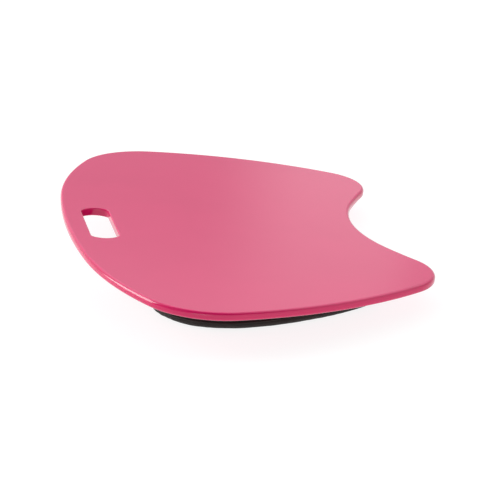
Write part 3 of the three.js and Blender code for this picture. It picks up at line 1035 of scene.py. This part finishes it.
def upright_plate(name, corner, edge, steps):
    """A rounded plate that fills a node's box on the rear wall."""
    low, high = node_box(name)
    size, middle = high - low, (low + high) / 2
    place = Matrix.Translation((middle[0], high[1], middle[2])) @ Matrix.Rotation(
        math.radians(90), 4, "X")
    plate = Builder()
    slab(plate, rounded_rectangle(size[0], size[2], corner), size[1], edge, steps, place)
    return plate


def rear_stitching(name, slot, ends, y, heights, pitch, length, thread):
    """Level rows of stitching on the rear wall."""
    rows = Builder()
    for z in heights:
        path = np.array([[x, y, z] for x in np.linspace(*ends, 120)])
        stitches(rows, path, np.broadcast_to([0, 1.0, 0], path.shape), pitch, length, thread)
    set_weave(rows.piece(name, MATERIALS["thread"], "cushion", slot))


def add_zip():
    for half, side in (("upper", 1), ("lower", -1)):
        low, high = node_box(f"zip_panel_{half}")
        rise = high[2] - low[2]
        fold = (low[2] + high[2]) / 2 - side * rise / 2
        panel = upright_plate(f"zip_panel_{half}", 0.5 * MM, 0.55 * MM, 4)
        hem = np.array([[x, high[1] - 0.15 * MM, fold + side * 1.1 * MM]
                        for x in np.linspace(low[0] + 0.6 * MM, high[0] - 0.6 * MM, 60)])
        oval = circle(1, 12) * [1.05 * MM, 0.42 * MM]
        sweep(panel, hem, oval, (0, 0, 1), (0, 1, 0))
        piece = panel.piece(f"zip_facing_{half}", MATERIALS["cover"], "cushion", "cushion_fabric")
        set_weave(piece)
        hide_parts(f"zip_panel_{half}")
        heights = [fold + side * distance for distance in (2.6 * MM, rise - 1.3 * MM)]
        rear_stitching(f"zip_facing_stitching_{half}", "cushion_fabric",
                       (low[0] + 1 * MM, high[0] - 1 * MM), high[1] + 0.02 * MM, heights,
                       3 * MM, 2.4 * MM, 0.22 * MM)

        tape = upright_plate(f"zip_tape_{half}", 0.3 * MM, 0.2 * MM, 2)
        piece = tape.piece(f"zip_tape_cloth_{half}", MATERIALS["tape"], "cushion", "zip_tape")
        set_weave(piece)
        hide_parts(f"zip_tape_{half}")
        add_coil(half, side)


COIL_PITCH = 1.4 * MM
COIL_WIRE = 0.24 * MM


def add_coil(half, side):
    """One half of the zip: a filament wound round its cord and sewn to the tape."""
    low, high = node_box(f"zip_coil_{half}")
    centre_y, centre_z = (low[1] + high[1]) / 2, (low[2] + high[2]) / 2
    deep = (high[1] - low[1]) / 2 - COIL_WIRE
    wide = (high[2] - low[2]) / 2 - COIL_WIRE + 0.12 * MM
    turns = int((high[0] - low[0] - 1 * MM) / COIL_PITCH)
    sides = 10
    phase = np.arange(turns * sides + 1) * 2 * math.pi / sides
    shift = 0.25 * COIL_PITCH * side
    path = np.column_stack([
        low[0] + 0.5 * MM + COIL_PITCH * phase / (2 * math.pi) + shift,
        centre_y + deep * np.sin(phase),
        centre_z - 0.06 * MM * side + wide * np.cos(phase),
    ])
    coil = Builder()
    tube(coil, path, COIL_WIRE, sides=6)
    cord = np.array([[x, centre_y, centre_z]
                     for x in np.linspace(low[0] + 0.4 * MM, high[0] - 0.4 * MM, 40)])
    tube(coil, cord, deep - COIL_WIRE * 0.6, sides=8)
    piece = coil.piece(f"zip_teeth_{half}", MATERIALS["coil"], "cushion", "zip_coil")
    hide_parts(f"zip_coil_{half}")
    zip_centre = (node_box("zip_coil_upper")[0][2] + node_box("zip_coil_lower")[1][2]) / 2
    rear_stitching(f"zip_coil_stitching_{half}", "zip_tape", (low[0], high[0]),
                   node_box(f"zip_tape_{half}")[1][1], [zip_centre + side * 3.0 * MM],
                   1.8 * MM, 1.5 * MM, 0.14 * MM)


def dress_zip_metal():
    """The slider, its pull and the stops keep their CAD shapes, with eased edges."""
    for name in ("zip_slider", "zip_pull", "zip_top_stop_upper", "zip_top_stop_lower",
                 "zip_bottom_stop"):
        node = frame["nodes"][name]
        node.data.materials.clear()
        node.data.materials.append(MATERIALS["metal"])
        add_modifier(node, "eased_edges", "BEVEL", width=0.15 * MM, segments=2,
                     limit_method="ANGLE", harden_normals=False)


# ---------------- hook-and-loop tabs

TAB_BASE = 0.42 * MM
TAB_WIDTH = 25 * MM
TAB_CORNER = 3 * MM


def tab_place(name, height):
    """Where a tab lies in the board's plane; height is measured up from the board's underside."""
    low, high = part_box(name)
    centre = TO_BOARD @ ((low + high) / 2)
    return BOARD_PLACE @ Matrix.Translation((centre.x, centre.y, height))


def tab_size():
    low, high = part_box(STRIPS[0])
    size = TO_BOARD.to_3x3() @ (high - low)
    return size.x, TAB_WIDTH


def shared_tab(name, mesh, place, body, node):
    tab = new_object(name, mesh)
    tab.matrix_world = place
    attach(tab, body)
    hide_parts(node)


def grid(length, width, margin, across, along):
    """Steps from the middle of a tab to each place of a grid on it, and the place's row."""
    columns, rows = int((length - margin) / across), int((width - margin) / along)
    return [(column - (columns - 1) / 2, row - (rows - 1) / 2, row)
            for column in range(columns) for row in range(rows)]


def hook_mesh(length, width):
    """The hook side, facing down: a moulded base with rows of hooks that face both ways."""
    tab = Builder()
    slab(tab, rounded_rectangle(length, width, TAB_CORNER), TAB_BASE, 0.15 * MM, steps=2,
         place=Matrix.Translation((0, 0, -TAB_BASE)))
    stem = np.array([[0, 0, 0.02], [0, 0, -0.34], [0.16, 0, -0.54], [0.34, 0, -0.38]]) * MM
    section = np.array([[-0.11, -0.13], [0.11, -0.13], [0.11, 0.13], [-0.11, 0.13]]) * MM
    sections = section[None] * np.array([1.0, 0.95, 0.8, 0.5])[:, None, None]
    across = np.array([[1, 0, 0], [1, 0, 0.2], [0.6, 0, 0.8], [0.2, 0, 1.0]])
    pitch_x, pitch_y = 1.9 * MM, 1.6 * MM
    for x, y, row in grid(length, width, 4 * MM, pitch_x, pitch_y):
        facing = [1 if row % 2 else -1, 1, 1]
        base = np.array([x * pitch_x, y * pitch_y, -TAB_BASE])
        sweep(tab, base + stem * facing, sections, across * facing, (0, 1.0, 0))
    return tab


def loop_mesh(length, width, rng):
    """The loop side, facing up: a woven base, a pile of loops and the stitching round it."""
    tab = Builder()
    slab(tab, rounded_rectangle(length, width, TAB_CORNER), TAB_BASE, 0.15 * MM, steps=2)
    pitch_x, pitch_y = 1.7 * MM, 1.5 * MM
    for x, y, _ in grid(length, width, 8 * MM, pitch_x, pitch_y):
        base = np.array([(x + rng.uniform(-0.35, 0.35)) * pitch_x,
                         (y + rng.uniform(-0.35, 0.35)) * pitch_y, TAB_BASE])
        angle = rng.uniform(0, math.pi)
        wide, tall = rng.uniform(0.7, 1.15) * MM, rng.uniform(0.3, 0.5) * MM
        lean = np.array([rng.uniform(-0.2, 0.2), rng.uniform(-0.2, 0.2)]) * MM
        arch = []
        for swing in np.linspace(0, math.pi, 5):
            flat = math.cos(swing) * wide / 2
            rise = math.sin(swing)
            arch.append([flat * math.cos(angle) + lean[0] * rise,
                         flat * math.sin(angle) + lean[1] * rise, rise * tall - 0.04 * MM])
        tube(tab, base + np.array(arch), 0.07 * MM, sides=3)
    border = rounded_rectangle(length - 4 * MM, width - 4 * MM, 2 * MM, steps=4)
    path = []
    for point, after in zip(border, np.roll(border, -1, 0)):
        pieces = max(1, int(np.linalg.norm(after - point) / (1 * MM)))
        for step in range(pieces):
            path.append([*(point + (after - point) * step / pieces), TAB_BASE])
    path = np.array(path)
    stitches(tab, path, np.broadcast_to([0, 0, 1.0], path.shape), 2.6 * MM, 2.1 * MM, 0.2 * MM,
             closed=True)
    return tab


def tab_mesh(builder, name, material):
    mesh = builder.mesh(name)
    mesh.shade_smooth()
    mesh.materials.append(material)
    return mesh


def add_tabs():
    length, width = tab_size()
    hooks = tab_mesh(hook_mesh(length, width), "hook_tab", MATERIALS["hooks"])
    loops = tab_mesh(loop_mesh(length, width, random.Random(4)), "loop_tab", MATERIALS["loops"])
    for node in STRIPS:
        where = node.removeprefix("loop_strip_")
        hook_node = f"hook_strip_{where}"
        shared_tab(f"hook_tab_{where}", hooks, tab_place(hook_node, -PIECE_GAP), "tray",
                   hook_node)
        place = tab_place(node, -STRIP_STACK + PIECE_GAP)
        shared_tab(f"loop_tab_{where}", loops, place, "cushion", node)


# ---------------- care label


def add_care_label(form):
    """A blank ribbon folded in two, caught in the lower seam."""
    low, high = node_box("care_label")
    _, along, _ = form.nearest((low + high)[None] / 2)
    length, height, thickness = 28 * MM, high[2] - low[2], 0.5 * MM
    plan, out = form.at(along[0] + np.linspace(-length / 2, length / 2, 15))
    path = np.column_stack([plan + out * 0.2 * MM, np.full(len(plan), low[2])])
    layer = 0.19 * MM
    bend = thickness / 2
    inner_bend = bend - layer
    fold = [(bend * (1 + math.cos(a)), height - bend * (1 - math.sin(a)))
            for a in np.linspace(0, math.pi, 7)]
    inner = [(layer + inner_bend * (1 - math.cos(a)),
              height - bend - inner_bend * (1 - math.sin(a)))
             for a in np.linspace(0, math.pi, 5)]
    section = np.array([(thickness, 0), *fold, (0, 0), (layer, 0), *inner, (thickness - layer, 0)])
    ribbon = Builder()
    outward = np.column_stack([out, np.zeros(len(out))])
    sweep(ribbon, path, section, outward, (0, 0, 1.0))
    piece = ribbon.piece("care_ribbon", MATERIALS["label"], "cushion", "label_fabric")
    ring = np.repeat(np.linspace(0, length, len(path)), len(section))
    set_weave(piece, np.column_stack([ring, vertex_array(piece.data)[:, 2]]))
    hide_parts("care_label")
    tack = Builder()
    stitches(tack, path + outward * thickness + [0, 0, 1.5 * MM], outward, 2.4 * MM, 1.9 * MM,
             0.16 * MM)
    piece = tack.piece("care_ribbon_stitching", MATERIALS["thread"], "cushion", "label_fabric")
    set_weave(piece)


# ---------------- light and floor

# Soft panels on the studio's walls, in degrees: (azimuth from +X towards +Y, elevation, half
# width, half height, fade beside, fade above and below, brightness added)
STUDIO_LEVEL = 1.05
STUDIO_DARKEST = 0.02
STUDIO_PANELS = [
    (64, 23, 13, 14, 7, 10, 7.0),
    (154, 6, 8, 6, 10, 8, 2.2),
    (-3, 10, 9, 5.4, 4, 5.6, -0.45),
    (-50, 18, 31, 9, 1.5, 8, -0.28),
    (-15, 50, 55, 14, 20, 14, 0.5),
    (-172, 57, 38, 25, 25, 10, -0.95),
    (115, 35, 30, 35, 14, 10, -0.7),
    (0, 90, 180, 18, 1, 14, -0.4),
]


def add_studio():
    world = bpy.data.worlds.new("studio")
    world.use_nodes = True
    bpy.context.scene.world = world
    studio = NodeTree(world.node_tree)
    background = next(n for n in studio.tree.nodes if n.type == "BACKGROUND")
    direction = studio.node("ShaderNodeTexCoord").outputs["Generated"]
    split = studio.node("ShaderNodeSeparateXYZ", {0: direction}).outputs
    azimuth = studio.math("ARCTAN2", split["Y"], split["X"])
    elevation = studio.math("ARCSINE", split["Z"])

    def faded(angle, half, fade):
        return studio.node("ShaderNodeMapRange", {
            "Value": angle, "From Min": math.radians(half + fade),
            "From Max": math.radians(half),
        }, interpolation_type="SMOOTHERSTEP").outputs["Result"]

    level = STUDIO_LEVEL
    for centre, height, half_width, half_height, beside, above, brightness in STUDIO_PANELS:
        turn = studio.math("COSINE", studio.math("SUBTRACT", azimuth, math.radians(centre)))
        across = faded(studio.math("ARCCOSINE", turn), half_width, beside)
        rise = studio.math("ABSOLUTE", studio.math("SUBTRACT", elevation, math.radians(height)))
        panel = studio.math("MULTIPLY", across, faded(rise, half_height, above))
        level = studio.math("ADD", level, studio.math("MULTIPLY", panel, brightness))
    level = studio.math("MAXIMUM", level, STUDIO_DARKEST)
    # What stands behind the object in a picture is plain white
    seen = studio.node("ShaderNodeLightPath").outputs["Is Camera Ray"]
    studio.tree.links.new(studio.math("MAXIMUM", level, seen), background.inputs["Strength"])
    background.inputs["Color"].default_value = (1, 1, 1, 1)


# Just below the object, so that nothing of it lies in the floor
FLOOR_HEIGHT = -0.2 * MM


def add_floor():
    half = 30
    corners = [(-half, -half, 0), (half, -half, 0), (half, half, 0), (-half, half, 0)]
    mesh = bpy.data.meshes.new("floor")
    mesh.from_pydata(corners, [], [(0, 1, 2, 3)])
    shader = Shader("lit_table", Roughness=0.7, Specular_IOR_Level=0.2,
                    Emission_Color=(1, 1, 1, 1), Emission_Strength=0.87)
    shader.paint(shader.noise(shader.where, 3, detail=2), 0.3, (0.17, 0.17, 0.17),
                 0.7, (0.19, 0.19, 0.19))
    mesh.materials.append(shader.material)
    floor = new_object("floor", mesh)
    floor.location.z = FLOOR_HEIGHT


# ---------------- the scene

bpy.context.scene.view_settings.view_transform = "Standard"
add_camera()
add_board()
cushion_form, cushion_cover = add_cushion()
add_stitching(cushion_form, cushion_cover)
add_zip()
dress_zip_metal()
add_tabs()
add_care_label(cushion_form)
add_studio()
add_floor()
